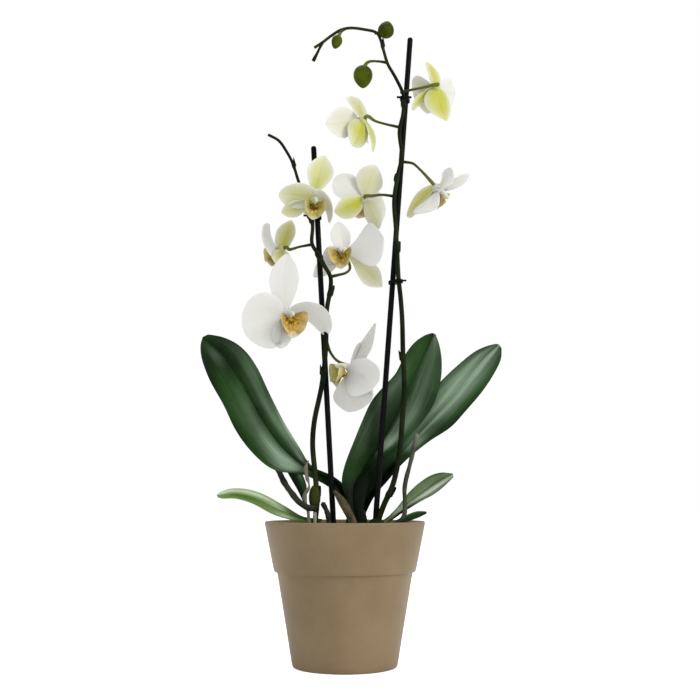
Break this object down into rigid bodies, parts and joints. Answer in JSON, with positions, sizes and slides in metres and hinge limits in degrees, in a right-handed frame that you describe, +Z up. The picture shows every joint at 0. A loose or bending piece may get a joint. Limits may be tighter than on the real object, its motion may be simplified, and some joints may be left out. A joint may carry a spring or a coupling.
{
  "type": "potted orchid",
  "caption": "White moth orchid in a tapered collared pot, with strap leaves, aerial roots and flower spikes clipped to dark stakes.",
  "frame": {"origin": "centre of the cover pot's flat underside", "axes": "+Z up along the pot's axis, -Y towards the side the picture shows, +X to the right of that view"},
  "size_m": [0.2638, 0.1362, 0.559],
  "materials": {
    "pot": "satin taupe glaze",
    "nursery_pot": "thin dark plastic",
    "bark": "rough bark chips",
    "stake": "satin, near black",
    "stem": "satin, dark olive, living stem",
    "crown": "satin, dark green leaf bases",
    "leaf": "leathery, with a soft shine and fine lengthwise lines",
    "pale_leaf": "leathery, pale green",
    "dry_sheath": "dry, papery and fibrous",
    "root": "matt, silver grey",
    "dark_root": "matt, dark green grey",
    "bud": "satin green",
    "petal": "soft translucent white, yellow green behind",
    "lip": "waxy golden yellow with brown marks"
  },
  "bodies": {
    "root": {"bark_mix": "bark", "bloom_l1": "petal", "bloom_l2": "petal", "bloom_l3": "petal", "bloom_l4": "petal", "bloom_l5": "petal", "bloom_r1": "petal", "bloom_r2": "petal", "bloom_r3": "petal", "bloom_r4": "petal", "bud_1": "bud", "bud_2": "bud", "bud_3": "bud", "clip_left": "stake", "clip_right_high": "stake", "clip_right_low": "stake", "cover_pot": "pot", "crown": "crown", "dry_twig_left": "dry_sheath", "grower_pot": "nursery_pot", "leaf_big_left": "leaf", "leaf_big_right": "leaf", "leaf_centre": "leaf", "leaf_low_left": "pale_leaf", "leaf_small_right": "leaf", "leaf_stub_left": "leaf", "leaf_tiny_right": "leaf", "lip_l1": "lip", "lip_l2": "lip", "lip_l3": "lip", "lip_l4": "lip", "lip_l5": "lip", "lip_r1": "lip", "lip_r2": "lip", "lip_r3": "lip", "lip_r4": "lip", "old_sheath": "dry_sheath", "root_dark_left": "dark_root", "root_grey_left": "root", "root_loop_left": "dark_root", "root_upright_right": "root", "spike_left": "stem", "spike_right": "stem", "stake_left": "stake", "stake_right": "stake"}
  },
  "joints": []
}
